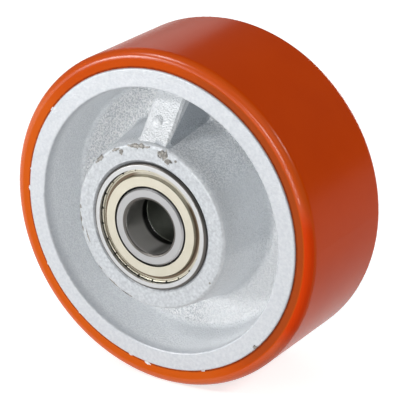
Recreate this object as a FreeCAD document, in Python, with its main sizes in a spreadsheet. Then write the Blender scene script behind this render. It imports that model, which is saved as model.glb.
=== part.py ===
import FreeCAD, Part
import math
import os
import Sketcher

# Castor wheel: a cast-iron centre with a bonded polyurethane tyre, two shielded
# ball bearings pressed into its hub and a spacer tube between their inner rings.
# The origin is the wheel's centre, +Y is the axle and +Z is up; the rib side faces -Y.

# Every driving size, in millimetres or degrees: name, value, what it is
SIZES = (
    ("wheel_d", 125, "outside of the tyre"),
    ("tyre_t", 6.5, "thickness of the polyurethane on the rim"),
    ("tyre_step", 0.6, "how far the tyre stops short of each rim face"),
    ("tyre_edge_r", 3, "rounding of the tyre's shoulders"),
    ("rim_w", 50, "width of the rim"),
    ("rim_wall", 6.8, "rim thickness at its face"),
    ("rim_draft", 6, "lean of the rim's inside wall"),
    ("rim_edge_r", 0.6, "rounding of the rim's faces"),
    ("web_t", 8, "thickness of the web"),
    ("root_r", 2.5, "fillet where the web meets hub, rim and rib"),
    ("hub_len", 59, "length of the cast hub"),
    ("hub_wall", 7.1, "hub thickness round a bearing at its face"),
    ("hub_draft", 9, "lean of the hub's outside"),
    ("hub_edge_r", 1.4, "rounding of the hub's faces"),
    ("land_step", 3, "height of the shoulder that a bearing is pressed against"),
    ("seat_lead", 0.9, "lead-in chamfer of a bearing seat"),
    ("bearing_proud", 0.5, "how far a bearing stands out of the hub"),
    ("rib_turn", 88, "place of the rib, from +X towards +Z"),
    ("rib_w_hub", 12.2, "rib width at the hub"),
    ("rib_w_rim", 12.2, "rib width at the rim"),
    ("rib_draft", 3, "lean of the rib's sides"),
    ("rib_run_in", 1.5, "how far the rib is carried into hub and rim"),
    ("rib_drop_hub", 0.6, "rib front behind the hub face, at the hub"),
    ("rib_drop_rim", 12, "rib front behind the rim face, at the rim"),
    ("rib_bevel", 0.9, "bevel along the rib's front"),
    ("pip_d", 4.4, "domed casting pip on the rib's front"),
    ("pip_rise", 0.8, "how far the pip stands out of the rib"),
    ("pip_out", 6.5, "pip centre from the edge of the hub face"),
    ("pip_aside", 1.2, "pip centre beside the rib's middle line"),
    ("bore_d", 20, "axle bore"),
    ("bearing_od", 47, "outside of a bearing"),
    ("bearing_w", 14, "width of a bearing"),
    ("ring_round", 1, "corner rounding of the rings' bore and outside"),
    ("ring_bevel", 0.5, "bevel at the inner ring's shoulders"),
    ("ball_d", 7.938, "ball"),
    ("ball_count", 8, "balls in a bearing"),
    ("race_clear", 0.05, "ball to raceway"),
    ("race_open", 0.16, "raceway radius over ball radius"),
    ("inner_shoulder", 1.45, "depth of the inner raceway"),
    ("outer_shoulder", 1.55, "depth of the outer raceway"),
    ("recess_step", 1.93, "shield recess over the outer ring's shoulder"),
    ("shield_t", 0.4, "shield sheet"),
    ("shield_set", 0.5, "shield face behind the ring faces"),
    ("shield_dish", 1.3, "step from the shield's face down to its rim"),
    ("shield_gap", 0.72, "shield to inner ring"),
    ("shield_bevel", 0.6, "width of the shield's sloping step"),
    ("shield_rim", 2.4, "width of the shield's rim"),
    ("shield_bite", 0.25, "how far the rim is sprung under the ring's lip"),
    ("lip_clear", 0.1, "shield rim to the lip over it"),
    ("bead_d", 0.8, "rolled bead on the shield's rim"),
    ("crimp_count", 11, "crimps in a bead"),
    ("crimp_w", 0.8, "width of a crimp"),
    ("crimp_turn", 8.2, "place of the first crimp, from +X towards +Z"),
    ("cage_t", 0.7, "cage strip"),
    ("cage_w", 3.3, "radial width of the cage"),
    ("cage_clear", 0.12, "cage pocket to ball"),
    ("rivet_d", 1, "cage rivet"),
    ("rivet_head_d", 1.8, "rivet head"),
    ("rivet_head_t", 0.5, "height of a rivet head"),
    ("tube_clear", 0.4, "spacer tube to axle"),
    ("tube_wall", 2.7, "wall of the spacer tube"),
    ("tube_lead", 0.4, "chamfer inside the tube's ends"),
)

# Radii and places that follow from the sizes
MIDDLE = "0 * dims.wheel_d"
TYRE_R = "(dims.wheel_d / 2)"
RIM_R = f"({TYRE_R} - dims.tyre_t)"
MOUTH_R = f"({RIM_R} - dims.rim_wall)"
RIM_Y = "(dims.rim_w / 2)"
WEB_Y = "(dims.web_t / 2)"
WELL_R = f"({MOUTH_R} - ({RIM_Y} - {WEB_Y}) * tan(dims.rim_draft))"
SEAT_R = "(dims.bearing_od / 2)"
LAND_R = f"({SEAT_R} - dims.land_step)"
HUB_Y = "(dims.hub_len / 2)"
HUB_R = f"({SEAT_R} + dims.hub_wall)"
HUB_ROOT_R = f"({HUB_R} + ({HUB_Y} - {WEB_Y}) * tan(dims.hub_draft))"
SEAT_Y = f"({HUB_Y} + dims.bearing_proud - dims.bearing_w)"
BEARING_Y = f"({SEAT_Y} + dims.bearing_w / 2)"
TYRE_Y = f"({RIM_Y} - dims.tyre_step)"
RIB_HUB_R = f"({HUB_R} - dims.rib_run_in)"
RIB_RIM_R = f"({MOUTH_R} + dims.rib_run_in)"
RIB_HUB_Y = f"({HUB_Y} - dims.rib_drop_hub)"
RIB_RIM_Y = f"({RIM_Y} - dims.rib_drop_rim)"
RIB_SLOPE = f"(({RIB_HUB_Y} - {RIB_RIM_Y}) / ({RIB_RIM_R} - {RIB_HUB_R}))"
PIP_R = f"({HUB_R} + dims.pip_out)"
PIP_Y = f"({RIB_HUB_Y} - {RIB_SLOPE} * ({PIP_R} - {RIB_HUB_R}))"
PIP_BALL_R = "((dims.pip_d ^ 2 / 4 + dims.pip_rise ^ 2) / (2 * dims.pip_rise))"
PIP_SINK = f"({PIP_BALL_R} - dims.pip_rise)"
RIB_LEAN = f"atan({RIB_SLOPE})"

BORE_R = "(dims.bore_d / 2)"
HALF_W = "(dims.bearing_w / 2)"
BALL_R = "(dims.ball_d / 2)"
PITCH_R = "((dims.bore_d + dims.bearing_od) / 4)"
RACE_R = f"({BALL_R} + dims.race_open)"
INNER_RACE_R = f"({PITCH_R} - {BALL_R} - dims.race_clear)"
OUTER_RACE_R = f"({PITCH_R} + {BALL_R} + dims.race_clear)"
INNER_LAND_R = f"({INNER_RACE_R} + dims.inner_shoulder)"
OUTER_LAND_R = f"({OUTER_RACE_R} - dims.outer_shoulder)"
LIP_R = f"({OUTER_LAND_R} + dims.recess_step)"
SHIELD_R = f"({LIP_R} + dims.shield_bite)"
SHIELD_BORE_R = f"({INNER_LAND_R} + dims.shield_gap)"
SHIELD_RIM_R = f"({SHIELD_R} - dims.shield_rim)"
SHIELD_FACE_Y = f"({HALF_W} - dims.shield_set)"
SHIELD_RIM_Y = f"({SHIELD_FACE_Y} - dims.shield_dish)"
SHIELD_SEAT_Y = f"({SHIELD_RIM_Y} - dims.shield_t)"
LIP_Y = f"({SHIELD_RIM_Y} + dims.lip_clear)"
BEAD_R = f"({LIP_R} - dims.bead_d / 2 - dims.lip_clear)"
BEAD_Y = f"({SHIELD_RIM_Y} + dims.bead_d / 4)"
CAGE_IN_R = f"({PITCH_R} - dims.cage_w / 2)"
CAGE_OUT_R = f"({PITCH_R} + dims.cage_w / 2)"
POCKET_R = f"({BALL_R} + dims.cage_clear)"
HUMP_R = f"({POCKET_R} + dims.cage_t)"
TUBE_BORE_R = f"({BORE_R} + dims.tube_clear)"

doc = FreeCAD.newDocument("polyurethane_wheel")
sheet = doc.addObject("Spreadsheet::Sheet", "dims")
for row, (alias, size, note) in enumerate(SIZES, 1):
    sheet.set(f"A{row}", note)
    sheet.set(f"B{row}", str(size))
    sheet.setAlias(f"B{row}", alias)
doc.recompute()


def value(expression):
    """The number that an expression has with the sheet's present sizes."""
    found = sheet.evalExpression(expression)
    return float(getattr(found, "Value", found))


def new_body(label):
    body = doc.addObject("PartDesign::Body", label)
    body.Label = label
    return body


def origin_part(body, role):
    return next(part for part in body.Origin.OriginFeatures if part.Role == role)


def new_sketch(body, name, plane="XY_Plane"):
    sketch = body.newObject("Sketcher::SketchObject", name)
    sketch.AttachmentSupport = (origin_part(body, plane), [""])
    sketch.MapMode = "FlatFace"
    return sketch


def hold(sketch, kind, *place, size):
    """Add one dimension to a sketch and bind it to its size."""
    index = sketch.addConstraint(Sketcher.Constraint(kind, *place, value(size)))
    sketch.setExpression(f"Constraints[{index}]", size)


def hold_point(sketch, geometry, point, x, y):
    hold(sketch, "DistanceX", -1, 1, geometry, point, size=x)
    hold(sketch, "DistanceY", -1, 1, geometry, point, size=y)


def outline(body, name, corners, plane="XY_Plane"):
    """Closed straight-sided profile; on the XY plane x is a radius and y runs along the axle."""
    sketch = new_sketch(body, name, plane)
    spots = [FreeCAD.Vector(value(x), value(y), 0) for x, y in corners]
    count = len(corners)
    for i in range(count):
        sketch.addGeometry(Part.LineSegment(spots[i], spots[(i + 1) % count]), False)
    for i in range(count):
        sketch.addConstraint(Sketcher.Constraint("Coincident", i, 2, (i + 1) % count, 1))
    for i, (x, y) in enumerate(corners):
        hold_point(sketch, i, 1, x, y)
    return sketch


def disc(body, name, x, y, radius, plane="XY_Plane"):
    """Circle profile."""
    sketch = new_sketch(body, name, plane)
    centre = FreeCAD.Vector(value(x), value(y), 0)
    circle = Part.Circle(centre, FreeCAD.Vector(0, 0, 1), value(radius))
    sketch.addGeometry(circle, False)
    hold_point(sketch, 0, 3, x, y)
    hold(sketch, "Radius", 0, size=radius)
    return sketch


def quarter(body, name, radius, side):
    """Quarter disc round a ball's centre, to be turned about the line through that centre."""
    sketch = new_sketch(body, name)
    centre = FreeCAD.Vector(value(PITCH_R), 0, 0)
    out = FreeCAD.Vector(value(radius), 0, 0)
    rise = FreeCAD.Vector(0, side * value(radius), 0)
    first, last = (0, math.pi / 2) if side > 0 else (-math.pi / 2, 0)
    circle = Part.Circle(centre, FreeCAD.Vector(0, 0, 1), value(radius))
    sketch.addGeometry(Part.LineSegment(centre, centre + rise), False)
    sketch.addGeometry(Part.LineSegment(centre, centre + out), False)
    sketch.addGeometry(Part.ArcOfCircle(circle, first, last), False)
    out_end, rise_end = (1, 2) if side > 0 else (2, 1)
    sketch.addConstraint(Sketcher.Constraint("Coincident", 0, 1, 1, 1))
    sketch.addConstraint(Sketcher.Constraint("Coincident", 2, 3, 0, 1))
    sketch.addConstraint(Sketcher.Constraint("Coincident", 1, 2, 2, out_end))
    sketch.addConstraint(Sketcher.Constraint("Coincident", 0, 2, 2, rise_end))
    sketch.addConstraint(Sketcher.Constraint("Vertical", 0))
    sketch.addConstraint(Sketcher.Constraint("Horizontal", 1))
    sketch.addConstraint(Sketcher.Constraint("PointOnObject", 0, 1, -1))
    hold(sketch, "DistanceX", -1, 1, 0, 1, size=PITCH_R)
    hold(sketch, "Radius", 2, size=radius)
    return sketch


def turned(body, kind, name, sketch, axis="V_Axis"):
    """Full turn of a profile, added (Revolution) or cut away (Groove)."""
    feature = body.newObject(f"PartDesign::{kind}", name)
    feature.Profile = sketch
    feature.ReferenceAxis = (sketch, [axis])
    feature.Angle = 360
    doc.recompute()
    return feature


def round_the_axle(body, name, feature, count):
    """Repeat a feature evenly round the axle."""
    pattern = body.newObject("PartDesign::PolarPattern", name)
    pattern.Originals = [feature]
    pattern.Axis = (origin_part(body, "Y_Axis"), [""])
    pattern.Angle = 360
    pattern.setExpression("Occurrences", count)
    body.Tip = pattern
    doc.recompute()
    return pattern


def rings(feature, spots):
    """Names of the round edges that lie at the given radii and places along the axle."""
    wanted = [(value(r), value(y)) for r, y in spots]
    names = []
    for number, edge in enumerate(feature.Shape.Edges, 1):
        curve = None if edge.Degenerated else edge.Curve
        if not isinstance(curve, Part.Circle) or abs(curve.Axis.y) < 0.999:
            continue
        if any(abs(curve.Radius - r) < 1e-4 and abs(curve.Center.y - y) < 1e-4 for r, y in wanted):
            names.append(f"Edge{number}")
    return names


def ease(body, kind, name, edges, size):
    """Fillet or chamfer on edges of the body's last feature."""
    feature = body.newObject(f"PartDesign::{kind}", name)
    feature.Base = (feature.BaseFeature, edges)
    feature.setExpression("Radius" if kind == "Fillet" else "Size", size)
    doc.recompute()
    return feature


def turn_about_axle(body, turn):
    """Turn a piece about the axle, from +X towards +Z."""
    spin = FreeCAD.Rotation(FreeCAD.Vector(0, -1, 0), value(turn))
    body.Placement = FreeCAD.Placement(body.Placement.Base, spin)
    body.setExpression("Placement.Rotation.Angle", turn)


def place(body, y, turn=None):
    """Set a bearing piece along the axle, and turn it where it has a place of its own round it."""
    if turn:
        turn_about_axle(body, turn)
    body.setExpression("Placement.Base.y", y)


def both_sides(corners):
    """A half profile for y above zero, closed by its mirror image below."""
    return corners + [(x, f"-{y}") for x, y in reversed(corners)]


def both_ends(radius, y):
    """An edge's radius and place along the axle, at both ends of a piece."""
    return [(radius, y), (radius, f"-{y}")]


def make_tread():
    body = new_body("tread")
    profile = outline(body, "tread_profile", both_sides([(RIM_R, TYRE_Y), (TYRE_R, TYRE_Y)]))
    ring = turned(body, "Revolution", "tread_ring", profile)
    ease(body, "Fillet", "tread_shoulders", rings(ring, both_ends(TYRE_R, TYRE_Y)), "dims.tyre_edge_r")
    return body


def rib_section(body, name, place, width, front):
    """Cross-section of the rib: its foot is in the web, its front is narrower by the draft."""
    foot = f"({width} / 2 + {front} * tan(dims.rib_draft))"
    half = f"({width} / 2)"
    flat = f"({half} - dims.rib_bevel)"
    side = f"({front} - dims.rib_bevel)"
    corners = [
        (MIDDLE, f"-{foot}"), (MIDDLE, foot), (f"-{side}", half),
        (f"-{front}", flat), (f"-{front}", f"-{flat}"), (f"-{side}", f"-{half}"),
    ]
    sketch = outline(body, name, corners, "YZ_Plane")
    sketch.setExpression("AttachmentOffset.Base.z", f"-{place}")
    return sketch


def rib_feet(feature):
    """Names of the edges where the rib's sides run into web, hub and rim."""
    near, far = value(RIB_HUB_R), value(RIB_RIM_R)
    top, slope = value(RIB_HUB_Y), value(RIB_SLOPE)
    names = []
    for number, edge in enumerate(feature.Shape.Edges, 1):
        middle = edge.CenterOfMass
        front = top - slope * (-middle.x - near)
        behind = front + middle.y
        beside = value("dims.rib_w_rim") / 4 < abs(middle.z) < value("dims.rib_w_hub")
        if beside and near < -middle.x < far and behind > 2 * value("dims.rib_bevel") and middle.y < 0:
            names.append(f"Edge{number}")
    return names


def make_core():
    """One casting: rim, web, hub and the single rib, modelled along -X and then turned to its place."""
    body = new_body("core")
    half = [
        (LAND_R, SEAT_Y), (SEAT_R, SEAT_Y), (SEAT_R, HUB_Y), (HUB_R, HUB_Y),
        (HUB_ROOT_R, WEB_Y), (WELL_R, WEB_Y), (MOUTH_R, RIM_Y), (RIM_R, RIM_Y),
    ]
    casting = turned(body, "Revolution", "casting", outline(body, "casting_profile", both_sides(half)))
    leads = rings(casting, both_ends(SEAT_R, HUB_Y))
    ease(body, "Chamfer", "seat_leads", leads, "dims.seat_lead")

    rib = body.newObject("PartDesign::AdditiveLoft", "rib")
    rib.Profile = rib_section(body, "rib_at_hub", RIB_HUB_R, "dims.rib_w_hub", RIB_HUB_Y)
    rib.Sections = [rib_section(body, "rib_at_rim", RIB_RIM_R, "dims.rib_w_rim", RIB_RIM_Y)]
    rib.Ruled = True
    body.Tip = rib
    doc.recompute()
    roots = rings(rib, both_ends(HUB_ROOT_R, WEB_Y) + both_ends(WELL_R, WEB_Y))
    eased = ease(body, "Fillet", "roots", roots + rib_feet(rib), "dims.root_r")
    eased = ease(body, "Fillet", "hub_edges", rings(eased, both_ends(HUB_R, HUB_Y)), "dims.hub_edge_r")
    faces = rings(eased, both_ends(MOUTH_R, RIM_Y) + both_ends(RIM_R, RIM_Y))
    ease(body, "Fillet", "rim_edges", faces, "dims.rim_edge_r")

    pip = body.newObject("PartDesign::AdditiveSphere", "pip")
    pip.setExpression("Radius", PIP_BALL_R)
    pip.setExpression("Placement.Base.x", f"{PIP_SINK} * sin({RIB_LEAN}) - {PIP_R}")
    pip.setExpression("Placement.Base.y", f"{PIP_SINK} * cos({RIB_LEAN}) - {PIP_Y}")
    pip.setExpression("Placement.Base.z", "-dims.pip_aside")
    body.Tip = pip
    doc.recompute()
    turn_about_axle(body, "dims.rib_turn + 180")
    return body


def make_spacer():
    body = new_body("spacer_tube")
    wall = [(TUBE_BORE_R, SEAT_Y), (f"({TUBE_BORE_R} + dims.tube_wall)", SEAT_Y)]
    tube = turned(body, "Revolution", "tube", outline(body, "tube_profile", both_sides(wall)))
    ease(body, "Chamfer", "tube_leads", rings(tube, both_ends(TUBE_BORE_R, SEAT_Y)), "dims.tube_lead")
    return body


def make_outer_ring(label, y):
    """Outer ring: deep raceway, and at each side a recess with a lip over the shield's rim."""
    body = new_body(label)
    half = [
        (OUTER_LAND_R, SHIELD_SEAT_Y), (SHIELD_R, SHIELD_SEAT_Y), (SHIELD_R, LIP_Y),
        (LIP_R, LIP_Y), (LIP_R, HALF_W), (SEAT_R, HALF_W),
    ]
    turned(body, "Revolution", f"{label}_blank", outline(body, f"{label}_profile", both_sides(half)))
    groove = disc(body, f"{label}_race", f"{OUTER_RACE_R} - {RACE_R}", MIDDLE, RACE_R)
    race = turned(body, "Groove", f"{label}_raceway", groove)
    ease(body, "Fillet", f"{label}_corners", rings(race, both_ends(SEAT_R, HALF_W)), "dims.ring_round")
    place(body, y)
    return body


def make_inner_ring(label, y):
    """Inner ring: rounded bore mouths, bevelled shoulders and a deep raceway."""
    body = new_body(label)
    half = [(BORE_R, HALF_W), (INNER_LAND_R, HALF_W)]
    turned(body, "Revolution", f"{label}_blank", outline(body, f"{label}_profile", both_sides(half)))
    groove = disc(body, f"{label}_race", f"{INNER_RACE_R} + {RACE_R}", MIDDLE, RACE_R)
    race = turned(body, "Groove", f"{label}_raceway", groove)
    shoulders = rings(race, both_ends(INNER_LAND_R, HALF_W))
    bevel = ease(body, "Chamfer", f"{label}_bevels", shoulders, "dims.ring_bevel")
    ease(body, "Fillet", f"{label}_mouths", rings(bevel, both_ends(BORE_R, HALF_W)), "dims.ring_round")
    place(body, y)
    return body


def make_shield(label, y, side):
    """Pressed shield: flat face, sloping step and a rim with a rolled bead, crimped under a lip."""
    body = new_body(label)
    front = [
        (SHIELD_BORE_R, SHIELD_FACE_Y), (f"({SHIELD_RIM_R} - dims.shield_bevel)", SHIELD_FACE_Y),
        (SHIELD_RIM_R, SHIELD_RIM_Y), (SHIELD_R, SHIELD_RIM_Y),
    ]
    back = [(x, f"({depth} - dims.shield_t)") for x, depth in reversed(front)]
    corners = [(x, f"{side} * {depth}") for x, depth in front + back]
    turned(body, "Revolution", f"{label}_sheet", outline(body, f"{label}_profile", corners))
    bead = disc(body, f"{label}_bead_profile", BEAD_R, f"{side} * {BEAD_Y}", "dims.bead_d / 2")
    rolled = turned(body, "Revolution", f"{label}_bead", bead)

    inside = f"({BEAD_R} - dims.bead_d)"
    outside = f"({BEAD_R} + dims.bead_d)"
    above = f"({BEAD_Y} + dims.bead_d)"
    slot = [(inside, SHIELD_RIM_Y), (outside, SHIELD_RIM_Y), (outside, above), (inside, above)]
    crimp = body.newObject("PartDesign::Pocket", f"{label}_crimp")
    crimp.Profile = outline(body, f"{label}_slot", [(x, f"{side} * {depth}") for x, depth in slot])
    crimp.SideType = "Symmetric"
    crimp.setExpression("Length", "dims.crimp_w")
    body.Tip = crimp
    doc.recompute()
    round_the_axle(body, f"{label}_crimps", crimp, "dims.crimp_count")
    if body.Shape.Volume >= rolled.Shape.Volume:
        raise RuntimeError(f"{label}: the crimps cut nothing")
    place(body, y, "dims.crimp_turn")
    return body


def make_cage_half(label, y, side):
    """Half of a pressed ribbon cage: a flat strip with a spherical pocket round each ball."""
    body = new_body(label)
    thick = "dims.cage_t"
    strip = [(CAGE_IN_R, MIDDLE), (CAGE_OUT_R, MIDDLE), (CAGE_OUT_R, thick), (CAGE_IN_R, thick)]
    corners = [(x, f"{side} * {depth}") for x, depth in strip]
    turned(body, "Revolution", f"{label}_strip", outline(body, f"{label}_profile", corners))
    dome = quarter(body, f"{label}_dome", HUMP_R, side)
    hump = turned(body, "Revolution", f"{label}_hump", dome, "Edge1")
    round_the_axle(body, f"{label}_humps", hump, "dims.ball_count")
    bowl = quarter(body, f"{label}_bowl", POCKET_R, side)
    pocket = turned(body, "Groove", f"{label}_pocket", bowl, "Edge1")
    round_the_axle(body, f"{label}_pockets", pocket, "dims.ball_count")

    clear_y = f"({side} * ({HUMP_R} + dims.cage_t))"
    for name, start, stop in (
        ("inside", f"({PITCH_R} - {HUMP_R} - dims.cage_t)", CAGE_IN_R),
        ("outside", CAGE_OUT_R, f"({PITCH_R} + {HUMP_R} + dims.cage_t)"),
    ):
        below_y = f"({-side} * dims.cage_t)"
        spare = [(start, below_y), (stop, below_y), (stop, clear_y), (start, clear_y)]
        turned(body, "Groove", f"{label}_trim_{name}", outline(body, f"{label}_spare_{name}", spare))

    hole = body.newObject("PartDesign::Pocket", f"{label}_hole")
    half_step = "180 / dims.ball_count"
    spot = (f"{PITCH_R} * cos({half_step})", f"{PITCH_R} * sin({half_step})")
    hole.Profile = disc(body, f"{label}_hole_circle", *spot, "dims.rivet_d / 2", "XZ_Plane")
    hole.SideType = "Symmetric"
    hole.setExpression("Length", "dims.cage_t * 4")
    body.Tip = hole
    doc.recompute()
    round_the_axle(body, f"{label}_holes", hole, "dims.ball_count")
    place(body, y)
    return body


def make_rivets(label, y):
    """The rivets that close a cage, one between each two balls, with a head at each side."""
    body = new_body(label)
    head = f"({PITCH_R} + dims.rivet_head_d / 2)"
    shank = f"({PITCH_R} + dims.rivet_d / 2)"
    top = "(dims.cage_t + dims.rivet_head_t)"
    half = [(shank, "dims.cage_t"), (head, "dims.cage_t"), (head, top), (PITCH_R, top)]
    profile = outline(body, f"{label}_profile", both_sides(half))
    rivet = turned(body, "Revolution", f"{label}_rivet", profile, "Edge4")
    round_the_axle(body, f"{label}_set", rivet, "dims.ball_count")
    place(body, y, "180 / dims.ball_count")
    return body


def make_ball(label, y, number):
    ball = doc.addObject("Part::Sphere", label)
    ball.Label = label
    angle = f"{number} * 360 / dims.ball_count"
    ball.setExpression("Radius", BALL_R)
    ball.setExpression("Placement.Base.x", f"{PITCH_R} * cos({angle})")
    ball.setExpression("Placement.Base.y", y)
    ball.setExpression("Placement.Base.z", f"{PITCH_R} * sin({angle})")
    return ball


def make_bearing(end, y, outward):
    """All pieces of one bearing; outward is the side of its own middle that faces away from the wheel."""
    made = [make_outer_ring(f"{end}_outer_ring", y), make_inner_ring(f"{end}_inner_ring", y)]
    for side, name in ((outward, "outside"), (-outward, "inside")):
        made.append(make_shield(f"{end}_{name}_shield", y, side))
        made.append(make_cage_half(f"{end}_cage_{name}", y, side))
    made.append(make_rivets(f"{end}_cage_rivets", y))
    for number in range(round(value("dims.ball_count"))):
        made.append(make_ball(f"{end}_ball_{number + 1}", y, number))
    return made


pieces = [make_tread(), make_core(), make_spacer()]
pieces += make_bearing("front", f"-{BEARING_Y}", -1)
pieces += make_bearing("rear", BEARING_Y, 1)
doc.recompute()

failed = [item.Name for item in doc.Objects if {"Invalid", "Error"} & set(item.State)]
failed += [piece.Label for piece in pieces if piece.Shape.isNull() or not piece.Shape.isValid()]
if failed:
    raise RuntimeError("these did not build: " + ", ".join(failed))

os.makedirs("parts", exist_ok=True)
for piece in pieces:
    piece.Shape.exportStep(f"parts/{piece.Label}.step")
print(len(pieces), "pieces written")
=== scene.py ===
# %% [markdown]
# # A polyurethane castor wheel
# The wheel comes from the CAD model as a fixed frame: every turned, cast and pressed form is already there,
# in metres, with the axle along Y and the wheel standing on its tread. This lesson dresses that frame:
# it sets up the camera and the studio, then gives each piece the finish that the real one has.

# %% Load the frame
import math

import bpy
from mathutils import Matrix, Vector


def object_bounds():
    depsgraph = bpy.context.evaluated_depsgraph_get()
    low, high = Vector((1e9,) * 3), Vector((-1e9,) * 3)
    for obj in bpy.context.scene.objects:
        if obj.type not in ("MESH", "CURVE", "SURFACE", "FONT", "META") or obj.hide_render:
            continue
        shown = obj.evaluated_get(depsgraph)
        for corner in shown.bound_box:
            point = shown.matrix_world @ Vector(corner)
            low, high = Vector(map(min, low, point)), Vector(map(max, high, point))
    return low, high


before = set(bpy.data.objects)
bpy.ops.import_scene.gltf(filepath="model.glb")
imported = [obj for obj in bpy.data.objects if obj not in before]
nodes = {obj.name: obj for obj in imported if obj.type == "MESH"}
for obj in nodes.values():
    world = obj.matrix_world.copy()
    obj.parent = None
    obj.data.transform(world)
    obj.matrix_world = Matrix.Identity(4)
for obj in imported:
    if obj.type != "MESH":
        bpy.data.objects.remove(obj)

cad_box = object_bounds()
print("loaded", len(nodes), "nodes; box", [tuple(round(v, 4) for v in corner) for corner in cad_box])

# %% [markdown]
# ## Colours and nodes
# Colours are written as the sRGB hex values that a paint chart would give, and one function turns them
# into the linear numbers that shaders work with. A second small function adds a shader node, sets its
# values and links its inputs, so that each finish below reads from top to bottom like a recipe.

# %% Two helpers
MM = 0.001
FIRST, SECOND, BLEND = 6, 7, 2  # a colour Mix node's two colour inputs and its colour output
LOW, HIGH = 2, 3  # a number Mix node's two inputs


def srgb(hex_code):
    channels = [int(hex_code[i:i + 2], 16) / 255 for i in (1, 3, 5)]
    linear = [c / 12.92 if c <= 0.04045 else ((c + 0.055) / 1.055) ** 2.4 for c in channels]
    return (*linear, 1.0)


def add(tree, kind, inputs=None, **settings):
    """Add one node: settings are its own properties, and an input takes a value or a socket to link."""
    node = tree.nodes.new(kind)
    for name, setting in settings.items():
        setattr(node, name, setting)
    for name, feed in (inputs or {}).items():
        if isinstance(feed, bpy.types.NodeSocket):
            tree.links.new(feed, node.inputs[name])
        else:
            node.inputs[name].default_value = feed
    return node


print("colour and node helpers ready")

# %% [markdown]
# ## The camera
# A long lens from the front right and a little above, close to what a product photographer uses, so that
# the circles of rim and bearing stay nearly true ellipses. The wheel leans a degree in the frame.

# %% Camera
AZIMUTH, ELEVATION, ROLL = 33.38, 21.33, -1.13  # degrees
DISTANCE = 0.7182
AIM = Vector((0.01117, -0.01430, 0.00715))
FOCAL_LENGTH, SENSOR_WIDTH = 184.5, 36  # millimetres


def direction(azimuth, elevation):
    """The unit vector from the wheel to a place, by degrees from the front round to the right, and up."""
    turn, rise = math.radians(azimuth), math.radians(elevation)
    level = math.cos(rise)
    return Vector((level * math.sin(turn), -level * math.cos(turn), math.sin(rise)))


back = direction(AZIMUTH, ELEVATION)
sideways = direction(AZIMUTH + 90, 0)
lean = math.radians(ROLL)
right = math.cos(lean) * sideways + math.sin(lean) * back.cross(sideways)
up = back.cross(right)
eye = AIM + DISTANCE * back

lens = bpy.data.cameras.new("camera")
lens.sensor_width = SENSOR_WIDTH
lens.lens = FOCAL_LENGTH
camera = bpy.data.objects.new("camera", lens)
camera.matrix_world = Matrix((
    (right.x, up.x, back.x, eye.x),
    (right.y, up.y, back.y, eye.y),
    (right.z, up.z, back.z, eye.z),
    (0, 0, 0, 1),
))
bpy.context.scene.collection.objects.link(camera)
bpy.context.scene.camera = camera
print("camera at", tuple(round(v, 4) for v in eye))

# %% [markdown]
# ## Studio
# A wide pale floor carries the wheel, and above it the studio is a plain dim grey, so that the gloss of the
# tread shows where the white floor ends. The camera looks down on the floor all over the picture. To the
# camera, and in whatever is shiny, the floor glows a little, which makes it plain white without more light
# on the wheel; it still keeps the wheel's soft shadow.

# %% Floor and surround
FLOOR_WIDTH = 8
FLOOR_GAP = 0.2 * MM  # keeps the floor just clear of the tread
FLOOR_GLOW = 0.7
SURROUND = 0.19

floor_z = cad_box[0][2]
bpy.ops.object.select_all(action="DESELECT")
bpy.ops.mesh.primitive_plane_add(size=FLOOR_WIDTH, location=(0, 0, floor_z - FLOOR_GAP))
floor = bpy.context.object
floor.name = "studio_floor"
pale = bpy.data.materials.new("pale_floor")
pale.use_nodes = True
tree = pale.node_tree
tree.nodes.clear()
ray = add(tree, "ShaderNodeLightPath").outputs
seen = add(tree, "ShaderNodeMath", {0: ray["Is Camera Ray"], 1: ray["Is Glossy Ray"]}, operation="MAXIMUM")
seen = add(tree, "ShaderNodeMath", {0: seen.outputs[0], 1: ray["Is Transmission Ray"]}, operation="MAXIMUM")
matt = add(tree, "ShaderNodeBsdfDiffuse", {"Color": srgb("#e2e2e0")})
glow = add(tree, "ShaderNodeEmission", {"Strength": FLOOR_GLOW})
lit = add(tree, "ShaderNodeAddShader", {0: matt.outputs[0], 1: glow.outputs[0]})
mix = add(tree, "ShaderNodeMixShader", {0: seen.outputs[0], 1: matt.outputs[0], 2: lit.outputs[0]})
add(tree, "ShaderNodeOutputMaterial", {"Surface": mix.outputs[0]})
floor.data.materials.append(pale)

world = bpy.data.worlds.new("surround")
bpy.context.scene.world = world
world.use_nodes = True
tree = world.node_tree
tree.nodes.clear()
grey = add(tree, "ShaderNodeBackground", {"Color": (1, 1, 1, 1), "Strength": SURROUND})
add(tree, "ShaderNodeOutputWorld", {"Surface": grey.outputs[0]})
bpy.context.scene.view_settings.view_transform = "Standard"
print("floor at", round(floor_z, 4), "surround", SURROUND)

# %% [markdown]
# ## Lamps
# All lamps are soft discs at one distance. Two on the front left, one high and one low, brighten the rib
# and the right of the dish, and one low in front reaches the bottom of the dish. One high on the right
# lights the tread, and a large weak softbox above the camera fills the shadows. Behind the wheel, one lamp
# draws the soft sheen along the top of the tread, and another lights the far side.

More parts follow.
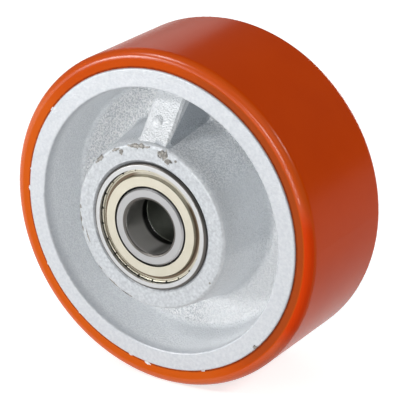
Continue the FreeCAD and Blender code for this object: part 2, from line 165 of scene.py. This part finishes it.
# %% Seven soft lamps
LAMP_DISTANCE = 1.2
LAMPS = (  # name, azimuth and elevation in degrees as seen from the wheel, width in metres, watts
    ("left_high_lamp", -35, 38, 0.3, 4.6),
    ("left_low_lamp", -38, 4, 0.3, 4.9),
    ("front_low_lamp", 0, 4, 0.3, 3.1),
    ("right_lamp", 100, 38, 0.3, 4.5),
    ("right_front_softbox", 35, 40, 0.9, 0.8),
    ("back_left_lamp", 224, 21, 0.6, 0.85),
    ("back_lamp", 180, 4, 0.4, 3.0),
)
for name, azimuth, elevation, width, watts in LAMPS:
    spot = LAMP_DISTANCE * direction(azimuth, elevation)
    light = bpy.data.lights.new(name, "AREA")
    light.shape = "DISK"
    light.size = width
    light.energy = watts
    holder = bpy.data.objects.new(name, light)
    holder.matrix_world = Matrix.Translation(spot) @ (-spot).to_track_quat("-Z", "Y").to_matrix().to_4x4()
    bpy.context.scene.collection.objects.link(holder)
print(len(LAMPS), "lamps,", round(sum(watts for *rest, watts in LAMPS), 2), "W")

# %% [markdown]
# ## Places on a turned piece
# Almost everything here is turned, so wear and grime follow radius and angle. The first helper gives a
# finish three numbers for the point being shaded: its radius and its place along the axle, in millimetres,
# and its angle from the top of the wheel, in degrees, counted towards the left as the camera sees it.
# The second marks a band of any of these, and the third a set of oval spots, such as chips in paint. Each
# zone below is written as the three numbers that a band takes: low limit, high limit and soft margin.

# %% Radius, place along the axle and angle
RAGGEDNESS = 2.4  # how far the noise moves the edge of a spot, in parts of its size
CLEAR_EDGE, FULL_EDGE = 2.3, 2.1  # where a spot fades; noise of one half puts both near its outline


def round_the_axle(tree, place):
    mm = add(tree, "ShaderNodeVectorMath", {0: place, "Scale": 1 / MM}, operation="SCALE").outputs[0]
    flat = add(tree, "ShaderNodeVectorMath", {0: mm, 1: (1, 0, 1)}, operation="MULTIPLY").outputs[0]
    radius = add(tree, "ShaderNodeVectorMath", {0: flat}, operation="LENGTH").outputs["Value"]
    split = add(tree, "ShaderNodeSeparateXYZ", {0: mm}).outputs
    left = add(tree, "ShaderNodeMath", {0: split["X"], 1: -1}, operation="MULTIPLY").outputs[0]
    turn = add(tree, "ShaderNodeMath", {0: left, 1: split["Z"]}, operation="ARCTAN2").outputs[0]
    angle = add(tree, "ShaderNodeMath", {0: turn}, operation="DEGREES").outputs[0]
    return radius, split["Y"], angle


def band(tree, value, low, high, soft):
    """1 where a value lies between two limits, fading to 0 over a soft margin outside them."""
    rise = add(tree, "ShaderNodeMapRange", {"Value": value, "From Min": low - soft, "From Max": low},
               interpolation_type="SMOOTHSTEP").outputs[0]
    fall = add(tree, "ShaderNodeMapRange", {"Value": value, "From Min": high + soft, "From Max": high},
               interpolation_type="SMOOTHSTEP").outputs[0]
    return add(tree, "ShaderNodeMath", {0: rise, 1: fall}, operation="MULTIPLY").outputs[0]


def spots(tree, radius, angle, ragged, ovals):
    """1 inside ragged ovals, each with its angle, radius, half length in degrees and half width in mm."""
    spot = add(tree, "ShaderNodeCombineXYZ", {"X": angle, "Y": radius}).outputs[0]
    nearest = None
    for turn, out, length, width in ovals:
        scaled = add(tree, "ShaderNodeVectorMath", {
            0: spot, 1: (1 / length, 1 / width, 0), 2: (-turn / length, -out / width, 0),
        }, operation="MULTIPLY_ADD").outputs[0]
        reach = add(tree, "ShaderNodeVectorMath", {0: scaled}, operation="LENGTH").outputs["Value"]
        if nearest:
            reach = add(tree, "ShaderNodeMath", {0: nearest, 1: reach}, operation="MINIMUM").outputs[0]
        nearest = reach
    edge = add(tree, "ShaderNodeMath", {0: ragged, 1: RAGGEDNESS, 2: nearest},
               operation="MULTIPLY_ADD").outputs[0]
    return add(tree, "ShaderNodeMapRange", {
        "Value": edge, "From Min": CLEAR_EDGE, "From Max": FULL_EDGE,
    }).outputs[0]


print("polar places ready")

# %% [markdown]
# ## Starting a finish
# Every finish starts the same way: a new material with a shader, its output, and the place on the piece
# that patterns are laid out from. Putting it on means swapping it into the slot of each CAD node.

# %% Start a finish and put it on
def finish_of(name):
    material = bpy.data.materials.new(name)
    material.use_nodes = True
    tree = material.node_tree
    tree.nodes.clear()
    shader = add(tree, "ShaderNodeBsdfPrincipled")
    add(tree, "ShaderNodeOutputMaterial", {"Surface": shader.outputs[0]})
    place = add(tree, "ShaderNodeTexCoord").outputs["Object"]
    return material, tree, shader, place


def dress(material, *names):
    for name in names:
        mesh = nodes[name].data
        mesh.materials.clear()
        mesh.materials.append(material)
    print(material.name, "on", len(names), "pieces")


print("finishes can start")

# %% [markdown]
# ## The tyre
# Cast polyurethane is a dense, slightly waxy plastic. It was poured hot round the rim, and its tread was
# turned true afterwards. The colour wanders a little, and the sides, as cast, differ from the turned tread.
# The sides carry painted light and shade: paler at the left and the bottom, browner at the right and
# redder on the lower right shoulder, as the light falls from the camera's side; these tones turn with the
# wheel. A dark line of grime marks the joint with the rim, and a few specks of silver paint have strayed
# over it.

# %% Orange polyurethane
TURNED_DARK, TURNED_LIGHT = srgb("#c43e00"), srgb("#d04600")
CAST_DARK, CAST_LIGHT = srgb("#bd4402"), srgb("#c94e06")
DRIFT_SIZE, RAGGED_SIZE = 22 * MM, 0.8 * MM  # patches of colour, and the teeth of ragged edges
CAST_SIDES = (23, 40, 1.5)  # mm from the middle of the wheel
FRONT_SIDE = (-40, -23.5, 0.3)  # mm along the axle
JOINT, FLAT_FACE, ROUNDED_EDGE = (55, 56.4, 0.5), (50, 58.6, 0.8), (59.6, 62, 0.5)  # mm of radius
RIGHT_ARC, BROWN_ARC, RED_ARC = (-140, 35, 25), (-130, -28, 24), (-116, -84, 14)  # degrees
BROWN_SHARE, JOINT_SHARE = 0.6, 1.2
PAINT_SPECKS = (  # angle in degrees, radius in mm, half length in degrees, half width in mm
    (87.8, 56.3, 0.9, 0.45), (80, 56.1, 0.6, 0.3), (173.6, 56.6, 1.2, 0.45), (166, 56.2, 0.9, 0.3),
    (-161.4, 56.2, 0.8, 0.35), (140, 56.2, 0.7, 0.3), (118, 56.2, 0.6, 0.3), (52, 56.2, 0.7, 0.3),
)

material, tree, shader, place = finish_of("cast_polyurethane")
radius, along, angle = round_the_axle(tree, place)
across = add(tree, "ShaderNodeMath", {0: along}, operation="ABSOLUTE").outputs[0]
drift = add(tree, "ShaderNodeTexNoise", {
    "Vector": place, "Scale": 1 / DRIFT_SIZE, "Detail": 3,
}).outputs["Fac"]
ragged = add(tree, "ShaderNodeTexNoise", {
    "Vector": place, "Scale": 1 / RAGGED_SIZE, "Detail": 3,
}).outputs["Fac"]
turned = add(tree, "ShaderNodeMix", {0: drift, FIRST: TURNED_DARK, SECOND: TURNED_LIGHT}, data_type="RGBA")
cast = add(tree, "ShaderNodeMix", {0: drift, FIRST: CAST_DARK, SECOND: CAST_LIGHT}, data_type="RGBA")

as_cast = band(tree, across, *CAST_SIDES)
on_front = band(tree, along, *FRONT_SIDE)
# Painted light and shade round the sides: paler at the left and bottom, browner at the right, redder on the
# lower right shoulder.
paler_sides_painted_light = band(tree, angle, *RIGHT_ARC)
paler_sides_painted_light = add(tree, "ShaderNodeMath", {0: 1, 1: paler_sides_painted_light}, operation="SUBTRACT").outputs[0]
paler_sides_painted_light = add(tree, "ShaderNodeMath", {0: paler_sides_painted_light, 1: as_cast}, operation="MULTIPLY").outputs[0]
browner_side_painted_shade = band(tree, angle, *BROWN_ARC)
for share in (band(tree, radius, *FLAT_FACE), on_front, BROWN_SHARE):
    browner_side_painted_shade = add(tree, "ShaderNodeMath", {0: browner_side_painted_shade, 1: share}, operation="MULTIPLY").outputs[0]
shoulder = band(tree, radius, *ROUNDED_EDGE)
shoulder = add(tree, "ShaderNodeMath", {0: as_cast, 1: shoulder}, operation="MULTIPLY").outputs[0]
red_shoulder_painted_shade = band(tree, angle, *RED_ARC)
red_shoulder_painted_shade = add(tree, "ShaderNodeMath", {0: red_shoulder_painted_shade, 1: shoulder}, operation="MULTIPLY").outputs[0]
joint = band(tree, radius, *JOINT)
for share in (ragged, JOINT_SHARE):
    joint = add(tree, "ShaderNodeMath", {0: joint, 1: share}, operation="MULTIPLY").outputs[0]
specks = spots(tree, radius, angle, ragged, PAINT_SPECKS)
specks = add(tree, "ShaderNodeMath", {0: specks, 1: on_front}, operation="MULTIPLY").outputs[0]

tone = turned.outputs[BLEND]
for mask, colour in (
    (as_cast, cast.outputs[BLEND]), (paler_sides_painted_light, srgb("#cc5810")), (browner_side_painted_shade, srgb("#8a3f1c")),
    (red_shoulder_painted_shade, srgb("#cf3a00")), (joint, srgb("#5e2008")), (specks, srgb("#dfe2e4")),
):
    tone = add(tree, "ShaderNodeMix", {0: mask, FIRST: tone, SECOND: colour},
               data_type="RGBA").outputs[BLEND]
tree.links.new(tone, shader.inputs["Base Color"])
print("tyre coloured, with", len(PAINT_SPECKS), "specks of paint")

# %% [markdown]
# ### How the tyre shines
# Polyurethane is a plain plastic with an index of refraction near 1.5, but the turned tread shines little.
# The rounded shoulder came smooth out of the mould, and a thin coat layer gives it a narrow line of light,
# except on its redder part. A lathe leaves rings a few tenths of a millimetre apart; here they are drawn
# about 0.8 mm apart, with finer ones between, so that they show. Together with broad, faint smears they
# soften the highlight.

# %% Rings, smears and shoulder gloss
RINGS_PER_MM = 1.2
SMEAR_SIZE = 6 * MM
RING_DEPTH, RING_STRENGTH = 0.2 * MM, 0.08
SHOULDER_COAT = 0.6
TREAD_ROUGHNESS, SHOULDER_ROUGHNESS = 0.26, 0.4

rings = add(tree, "ShaderNodeTexNoise", {"W": along, "Scale": RINGS_PER_MM, "Detail": 3},
            noise_dimensions="1D").outputs["Fac"]
smear = add(tree, "ShaderNodeTexNoise", {
    "Vector": place, "Scale": 1 / SMEAR_SIZE, "Detail": 4,
}).outputs["Fac"]
grain = add(tree, "ShaderNodeMath", {0: rings, 1: smear}, operation="ADD").outputs[0]
bump = add(tree, "ShaderNodeBump", {"Height": grain, "Strength": RING_STRENGTH, "Distance": RING_DEPTH})
tree.links.new(bump.outputs["Normal"], shader.inputs["Normal"])
coat = add(tree, "ShaderNodeMath", {0: shoulder, 1: red_shoulder_painted_shade}, operation="SUBTRACT").outputs[0]
coat = add(tree, "ShaderNodeMath", {0: coat, 1: SHOULDER_COAT}, operation="MULTIPLY").outputs[0]
tree.links.new(coat, shader.inputs["Coat Weight"])
dull = add(tree, "ShaderNodeMapRange", {
    "Value": shoulder, "To Min": TREAD_ROUGHNESS, "To Max": SHOULDER_ROUGHNESS,
}).outputs[0]
tree.links.new(dull, shader.inputs["Roughness"])
shader.inputs["Coat Roughness"].default_value = 0.2
shader.inputs["Specular IOR Level"].default_value = 0.06
shader.inputs["IOR"].default_value = 1.5
dress(material, "tread")

# %% [markdown]
# ## The painted casting
# Grey iron straight from a sand mould keeps the grain of the sand, and one coat of silver paint softens it
# without hiding it. The paint holds fine aluminium flakes, so it is partly a metal to the eye. Rim and hub
# faces were turned before painting, so they are smoother than web, rib and hub wall, and the paint on them
# is only a little cloudy. On the cast parts the grains are drawn pale against grey, partly real grain and
# partly painted glints and shade of the grains. The paler paint on the dish wall is painted light. The paint
# is drawn more even on the rib and at the lower right, where the wheel looks smoothest from the camera's
# side.

# %% Silver paint, zone by zone
RIM_DARK, RIM_LIGHT = srgb("#bfc3c9"), srgb("#ced1d5")
HUB_DARK, HUB_LIGHT = srgb("#aeb2b7"), srgb("#cbcfd3")
CAST_GREY, CAST_PALE = srgb("#cfd3d7"), srgb("#fcfdfe")
WALL_GREY, WALL_PALE = srgb("#e2e5e9"), srgb("#f1f4f6")
SAND_SIZE = 0.6 * MM  # moulding sand is near 0.3 mm, and is drawn about twice as coarse so that it shows
CLOUD_SIZE = 1.1 * MM
ROUGH_CAST, DISH_WALL, RIM_FACES = (31.2, 45.8, 1.2), (46, 48.6, 0.6), (40, 80, 1)  # mm of radius
RIB_ARC, EVEN_ARC = (-13, 15, 1), (-165, -62, 15)  # degrees
RIB_EVENNESS, ARC_EVENNESS, EVEN_TONE = 0.65, 0.7, 0.5

material, tree, shader, place = finish_of("painted_cast_iron")
radius, along, angle = round_the_axle(tree, place)
sand = add(tree, "ShaderNodeTexNoise", {"Vector": place, "Scale": 1 / SAND_SIZE, "Detail": 2}).outputs["Fac"]
cloud = add(tree, "ShaderNodeTexNoise", {
    "Vector": place, "Scale": 1 / CLOUD_SIZE, "Detail": 3,
}).outputs["Fac"]
cloud = add(tree, "ShaderNodeMapRange", {"Value": cloud, "From Min": 0.3, "From Max": 0.7}).outputs[0]
rough_cast = band(tree, radius, *ROUGH_CAST)
wall = band(tree, radius, *DISH_WALL)
outer = band(tree, radius, *RIM_FACES)
rib = band(tree, angle, *RIB_ARC)
even_arc = band(tree, angle, *EVEN_ARC)
even_arc = add(tree, "ShaderNodeMath", {0: even_arc, 1: ARC_EVENNESS}, operation="MULTIPLY").outputs[0]
even = add(tree, "ShaderNodeMath", {0: rib, 1: RIB_EVENNESS}, operation="MULTIPLY").outputs[0]
even = add(tree, "ShaderNodeMath", {0: even, 1: even_arc}, operation="MAXIMUM").outputs[0]
# The grain's pale and grey tones are partly real grain and partly painted glints and shade of the grains.
grain_and_glints = add(tree, "ShaderNodeMapRange", {"Value": sand, "From Min": 0.38, "From Max": 0.6}).outputs[0]
grain_and_glints = add(tree, "ShaderNodeMix", {0: even, LOW: grain_and_glints, HIGH: EVEN_TONE}).outputs[0]

rim = add(tree, "ShaderNodeMix", {0: cloud, FIRST: RIM_DARK, SECOND: RIM_LIGHT}, data_type="RGBA")
hub = add(tree, "ShaderNodeMix", {0: cloud, FIRST: HUB_DARK, SECOND: HUB_LIGHT}, data_type="RGBA")
sandy = add(tree, "ShaderNodeMix", {0: grain_and_glints, FIRST: CAST_GREY, SECOND: CAST_PALE}, data_type="RGBA")
# The dish wall is drawn paler than the same paint elsewhere: painted light on the deep wall.
smooth = add(tree, "ShaderNodeMix", {0: grain_and_glints, FIRST: WALL_GREY, SECOND: WALL_PALE}, data_type="RGBA")
tone = hub.outputs[BLEND]
for mask, paint in ((outer, rim), (rough_cast, sandy), (wall, smooth)):
    tone = add(tree, "ShaderNodeMix", {0: mask, FIRST: tone, SECOND: paint.outputs[BLEND]},
               data_type="RGBA").outputs[BLEND]
print("paint laid on rim, hub, casting and dish wall")

# %% [markdown]
# ### Painted shade and chips
# Some places are drawn in a greyer tone, which is painted shade: the rib's right flank, the corner on its
# left, and faintly the rib and the right of the hub wall and web. It follows the shading seen from the
# camera's side. Handling has knocked flakes of paint off the hub's face and one off the rim's edge. Bare
# grey iron shows there, darker and uneven.

# %% Painted shade and chips
PAINTED_SHADE_GREY = srgb("#acb2b8")
IRON_DARK, IRON_LIGHT = srgb("#4c4a47"), srgb("#98948e")
CHIP_EDGE_SIZE = 1.3 * MM
FRONT_DISH, FRONT_FACES = (-40, -5, 1), (-40, -23.5, 0.6)  # mm along the axle
CREST_SLOPE = 1.06  # mm that the rib's crest falls towards the web for each mm of radius
BELOW_CREST = (0, 60.4, 0.6)  # mm: distance outward plus slope times radius is 60.4 on the crest
HUB_CORNER = (31.5, 36.2, 0.8)  # mm of radius
FLANK_ARC, SHADE_ARC, CORNER_ARC = (-15, -4, 1), (-95, -15, 10), (13, 36, 5)  # degrees
SHADE_SHARE, CORNER_SHARE, RIB_SHARE = 0.28, 0.6, 0.25
CHIPS = (  # angle in degrees, radius in mm, half length in degrees, half width in mm
    (-13, 28.5, 4.2, 1.7), (-18, 27.0, 3.0, 1.1), (-23.5, 28.8, 0.9, 0.45), (6, 29.6, 8.0, 0.75),
    (26.5, 29.5, 4.5, 0.5), (23.5, 28.3, 1.6, 1.0), (43.6, 29.8, 4.2, 0.8), (86.7, 30.1, 1.6, 0.6),
    (95, 30.1, 3.6, 0.55), (102.7, 30.0, 2.2, 0.5), (107.5, 28.4, 5.0, 0.25), (132, 30.1, 2.4, 0.45),
    (146.6, 30.0, 5.0, 0.35), (159.3, 30.0, 5.0, 0.4), (-123, 29.2, 1.0, 0.5),
)
RIM_NICK = (-133.9, 55.6, 1.0, 0.8)

outward = add(tree, "ShaderNodeMath", {0: along, 1: -1}, operation="MULTIPLY").outputs[0]
crest = add(tree, "ShaderNodeMath", {0: radius, 1: CREST_SLOPE, 2: outward},
            operation="MULTIPLY_ADD").outputs[0]
# Painted shade: the rib's right flank below its crest, the corner on its left, and faintly the rib and the
# right of the hub wall and web.
flank = band(tree, angle, *FLANK_ARC)
below = band(tree, crest, *BELOW_CREST)
painted_shade = add(tree, "ShaderNodeMath", {0: flank, 1: below}, operation="MULTIPLY").outputs[0]
corner = band(tree, angle, *CORNER_ARC)
hub_corner = band(tree, radius, *HUB_CORNER)
corner = add(tree, "ShaderNodeMath", {0: corner, 1: hub_corner}, operation="MULTIPLY").outputs[0]
for patch, share in ((band(tree, angle, *SHADE_ARC), SHADE_SHARE), (rib, RIB_SHARE), (corner, CORNER_SHARE)):
    faint = add(tree, "ShaderNodeMath", {0: patch, 1: share}, operation="MULTIPLY").outputs[0]
    painted_shade = add(tree, "ShaderNodeMath", {0: painted_shade, 1: faint}, operation="MAXIMUM").outputs[0]
for zone in (band(tree, along, *FRONT_DISH), rough_cast):
    painted_shade = add(tree, "ShaderNodeMath", {0: painted_shade, 1: zone}, operation="MULTIPLY").outputs[0]

ragged = add(tree, "ShaderNodeTexNoise", {
    "Vector": place, "Scale": 1 / CHIP_EDGE_SIZE, "Detail": 3,
}).outputs["Fac"]
chipped = spots(tree, radius, angle, ragged, (*CHIPS, RIM_NICK))
on_front = band(tree, along, *FRONT_FACES)
chipped = add(tree, "ShaderNodeMath", {0: chipped, 1: on_front}, operation="MULTIPLY").outputs[0]
bare = add(tree, "ShaderNodeMapRange", {"Value": cloud, "From Min": 0.1, "From Max": 0.8}).outputs[0]
iron = add(tree, "ShaderNodeMix", {0: bare, FIRST: IRON_DARK, SECOND: IRON_LIGHT}, data_type="RGBA")
for mask, colour in ((painted_shade, PAINTED_SHADE_GREY), (chipped, iron.outputs[BLEND])):
    tone = add(tree, "ShaderNodeMix", {0: mask, FIRST: tone, SECOND: colour},
               data_type="RGBA").outputs[BLEND]
tree.links.new(tone, shader.inputs["Base Color"])
print(len(CHIPS), "chips on the hub and one nick on the rim")

# %% [markdown]
# ### Grain of the casting
# The same sand noise that tints the paint also lifts it, together with a slow swell. Both noises have a
# mean of one half, so 1 is taken off their sum: a height that swings round zero leaves no step where deep
# grain meets shallow. Web and rib show the grain most, hub wall and dish wall less, and turned faces hardly.

# %% Grain of the casting
SWELL_SIZE = 4 * MM
WEB = (-9, 9, 4)  # mm along the axle
SMOOTHED = -0.6  # what even paint takes off the grain
HUB_WALL_GRAIN, TURNED_GRAIN, DISH_WALL_GRAIN = 0.4, 0.14, 0.3
CHIP_HEIGHT = -0.12
GRAIN_DEPTH = 0.8 * MM

swell = add(tree, "ShaderNodeTexNoise", {
    "Vector": place, "Scale": 1 / SWELL_SIZE, "Detail": 2,
}).outputs["Fac"]
grain = add(tree, "ShaderNodeMath", {0: swell, 1: sand}, operation="ADD").outputs[0]
grain = add(tree, "ShaderNodeMath", {0: grain, 1: 1}, operation="SUBTRACT").outputs[0]
sanded = 1
for patch in (rib, even_arc):
    sanded = add(tree, "ShaderNodeMath", {0: patch, 1: SMOOTHED, 2: sanded},
                 operation="MULTIPLY_ADD").outputs[0]
web = band(tree, along, *WEB)
shown = add(tree, "ShaderNodeMath", {0: web, 1: rib}, operation="MAXIMUM").outputs[0]
depth = add(tree, "ShaderNodeMix", {0: shown, LOW: HUB_WALL_GRAIN, HIGH: sanded}).outputs[0]
depth = add(tree, "ShaderNodeMath", {0: rough_cast, 1: depth, 2: TURNED_GRAIN},
            operation="MULTIPLY_ADD").outputs[0]
depth = add(tree, "ShaderNodeMath", {0: wall, 1: DISH_WALL_GRAIN, 2: depth},
            operation="MULTIPLY_ADD").outputs[0]
height = add(tree, "ShaderNodeMath", {0: grain, 1: depth}, operation="MULTIPLY").outputs[0]
height = add(tree, "ShaderNodeMath", {0: chipped, 1: CHIP_HEIGHT, 2: height},
             operation="MULTIPLY_ADD").outputs[0]
bump = add(tree, "ShaderNodeBump", {"Height": height, "Strength": 1, "Distance": GRAIN_DEPTH})
tree.links.new(bump.outputs["Normal"], shader.inputs["Normal"])
shader.inputs["Metallic"].default_value = 0.2
shader.inputs["Roughness"].default_value = 0.36
dress(material, "core")

# %% [markdown]
# ## The bearings
# Rings are ground bearing steel, kept from rust by a film of oil. Painted shade darkens the chamfers on the
# outer ring's outside edge and at the mouth of the bore, and the seam behind the outer ring's lip is black.
# The bore is painted brighter than the faces, as painted light, with one band of less metal that stands in
# for a painted highlight, and painted black shade at its inner end, where it meets the tube.

# %% Bearing rings
RING_DARK, RING_LIGHT, INNER_TONE = srgb("#afb0b1"), srgb("#c2c3c4"), srgb("#a5a5a6")
CHAMFER_SHADE, BORE_TONE, BLACK_SHADE_AND_SEAM = srgb("#5a5754"), srgb("#d6d4d2"), srgb("#12100f")
OIL_PATCH = 3 * MM
INNER_RING, BORE, BORE_MOUTH = (0, 15, 0.5), (0, 10.1, 0.05), (10.15, 11.05, 0.1)  # mm of radius
OUTSIDE_EDGE, LIP_SEAM = (22.8, 40, 0.3), (21.1, 21.55, 0.1)  # mm of radius
BORE_END, BEHIND_LIP = (0, 18.9, 1.5), (0, 28.7, 0.2)  # mm from the middle of the wheel
HIGHLIGHT_ARC = (115, 165, 20)  # degrees
CLEAN_METAL, HIGHLIGHT_METAL = 0.9, 0.6

material, tree, shader, place = finish_of("ground_bearing_steel")
radius, along, angle = round_the_axle(tree, place)
across = add(tree, "ShaderNodeMath", {0: along}, operation="ABSOLUTE").outputs[0]
spread = add(tree, "ShaderNodeTexNoise", {
    "Vector": place, "Scale": 1 / OIL_PATCH, "Detail": 3,
}).outputs["Fac"]
bright = add(tree, "ShaderNodeMix", {0: spread, FIRST: RING_DARK, SECOND: RING_LIGHT}, data_type="RGBA")
# Painted shade in the chamfers of the outer ring's outside edge and of the bore's mouth.
outside = band(tree, radius, *OUTSIDE_EDGE)
mouth = band(tree, radius, *BORE_MOUTH)
painted_chamfer_shade = add(tree, "ShaderNodeMath", {0: outside, 1: mouth}, operation="MAXIMUM").outputs[0]
# The bore is painted brighter than the faces: painted light down the bore.
bore = band(tree, radius, *BORE)
# Painted black shade at the bore's inner end, where it meets the tube; the same black also marks the seam
# behind the lip.
bore_end_shade = band(tree, across, *BORE_END)
bore_end_shade = add(tree, "ShaderNodeMath", {0: bore, 1: bore_end_shade}, operation="MULTIPLY").outputs[0]
seam = band(tree, radius, *LIP_SEAM)
behind_lip = band(tree, across, *BEHIND_LIP)
seam = add(tree, "ShaderNodeMath", {0: seam, 1: behind_lip}, operation="MULTIPLY").outputs[0]
black = add(tree, "ShaderNodeMath", {0: bore_end_shade, 1: seam}, operation="MAXIMUM").outputs[0]

tone = bright.outputs[BLEND]
inner = band(tree, radius, *INNER_RING)
for mask, colour in ((inner, INNER_TONE), (painted_chamfer_shade, CHAMFER_SHADE), (bore, BORE_TONE), (black, BLACK_SHADE_AND_SEAM)):
    tone = add(tree, "ShaderNodeMix", {0: mask, FIRST: tone, SECOND: colour},
               data_type="RGBA").outputs[BLEND]
tree.links.new(tone, shader.inputs["Base Color"])
# A band with less metal in the bore stands in for a painted highlight.
highlight_streak = band(tree, angle, *HIGHLIGHT_ARC)
highlight_streak = add(tree, "ShaderNodeMath", {0: highlight_streak, 1: bore}, operation="MULTIPLY").outputs[0]
shine = add(tree, "ShaderNodeMapRange", {
    "Value": highlight_streak, "To Min": CLEAN_METAL, "To Max": HIGHLIGHT_METAL,
}).outputs[0]
tree.links.new(shine, shader.inputs["Metallic"])
shader.inputs["Roughness"].default_value = 0.33
dress(material, *[f"{end}_{ring}" for end in ("front", "rear") for ring in ("outer_ring", "inner_ring")])

# %% [markdown]
# ### Shields
# The shields are pressed from thin sheet and zinc plated, with a pale yellow passivated tint. Old grease and
# painted shade darken the fold round each shield to a browner tone, except at the top right, where the light
# falls on it. Round the edge, eleven crimp marks hold the shield under the lip, and the seam outside them is
# black.

# %% Bearing shields
PLATE_DARK, PLATE_LIGHT = srgb("#b6b1a1"), srgb("#c0bcaf")
GREASE_AND_SHADE, BLACK_SEAM = srgb("#5e4a35"), srgb("#1d1712")
PLATE_PATCH, NOTCH_EDGE_SIZE = 4 * MM, 0.8 * MM
FOLD, SHIELD_SEAM = (18.9, 19.6, 0.45), (21.15, 23, 0.12)  # mm of radius
LIT_FOLD_ARC = (-48, 10, 14)  # degrees
FOLD_DARKENING_SHARE, LIT_FOLD_OFF = 0.95, -0.85
PLATE_METAL, GREASE_METAL = 1, 0.4
CRIMP_COUNT, FIRST_CRIMP, CRIMP_RADIUS = 11, -163.6, 20.95
CRIMP_LENGTH, CRIMP_WIDTH = 1.4, 0.6  # half length in degrees and half width in mm
CRIMPS = [
    (FIRST_CRIMP + n * 360 / CRIMP_COUNT, CRIMP_RADIUS, CRIMP_LENGTH, CRIMP_WIDTH)
    for n in range(CRIMP_COUNT)
]

material, tree, shader, place = finish_of("yellow_zinc_plate")
radius, _, angle = round_the_axle(tree, place)
spread = add(tree, "ShaderNodeTexNoise", {
    "Vector": place, "Scale": 1 / PLATE_PATCH, "Detail": 3,
}).outputs["Fac"]
plate = add(tree, "ShaderNodeMix", {0: spread, FIRST: PLATE_DARK, SECOND: PLATE_LIGHT}, data_type="RGBA")
# The fold is darkened by grease and painted shade, except at the top right, where the light falls.
lit_fold = band(tree, angle, *LIT_FOLD_ARC)
fold_darkening = add(tree, "ShaderNodeMath", {0: lit_fold, 1: LIT_FOLD_OFF, 2: FOLD_DARKENING_SHARE},
           operation="MULTIPLY_ADD").outputs[0]
fold = band(tree, radius, *FOLD)
grease_and_shade = add(tree, "ShaderNodeMath", {0: fold_darkening, 1: fold}, operation="MULTIPLY").outputs[0]
ragged = add(tree, "ShaderNodeTexNoise", {
    "Vector": place, "Scale": 1 / NOTCH_EDGE_SIZE, "Detail": 2,
}).outputs["Fac"]
notches = spots(tree, radius, angle, ragged, CRIMPS)
seam = band(tree, radius, *SHIELD_SEAM)
black = add(tree, "ShaderNodeMath", {0: notches, 1: seam}, operation="MAXIMUM").outputs[0]
tone = plate.outputs[BLEND]
for mask, colour in ((grease_and_shade, GREASE_AND_SHADE), (black, BLACK_SEAM)):
    tone = add(tree, "ShaderNodeMix", {0: mask, FIRST: tone, SECOND: colour},
               data_type="RGBA").outputs[BLEND]
tree.links.new(tone, shader.inputs["Base Color"])
shine = add(tree, "ShaderNodeMapRange", {
    "Value": fold, "To Min": PLATE_METAL, "To Max": GREASE_METAL,
}).outputs[0]
tree.links.new(shine, shader.inputs["Metallic"])
shader.inputs["Roughness"].default_value = 0.36
dress(material, *[f"{end}_{side}_shield" for end in ("front", "rear") for side in ("outside", "inside")])

# %% [markdown]
# ### Cages, balls and tube
# These are plain steel, seen only through gaps and down the bore: a pressed cage, polished balls and an
# oiled tube. One loop gives each its tone, with patches of a few millimetres where the oil lies thicker.

# %% Cages, balls and tube
PLAIN_STEELS = (  # finish, dark and light tone, metallic, roughness, pieces
    ("pressed_cage_steel", "#8d8a84", "#b5b2ab", 1, 0.4, [name for name in nodes if "_cage_" in name]),
    ("polished_ball_steel", "#c2c2c4", "#d6d6d8", 1, 0.12, [name for name in nodes if "_ball_" in name]),
    ("oiled_tube_steel", "#5a5e55", "#7d8178", 0.8, 0.45, ["spacer_tube"]),
)
for name, dark, light, metallic, roughness, pieces in PLAIN_STEELS:
    material, tree, shader, place = finish_of(name)
    spread = add(tree, "ShaderNodeTexNoise", {
        "Vector": place, "Scale": 1 / OIL_PATCH, "Detail": 3,
    }).outputs["Fac"]
    tone = add(tree, "ShaderNodeMix", {0: spread, FIRST: srgb(dark), SECOND: srgb(light)}, data_type="RGBA")
    tree.links.new(tone.outputs[BLEND], shader.inputs["Base Color"])
    shader.inputs["Metallic"].default_value = metallic
    shader.inputs["Roughness"].default_value = roughness
    dress(material, *pieces)
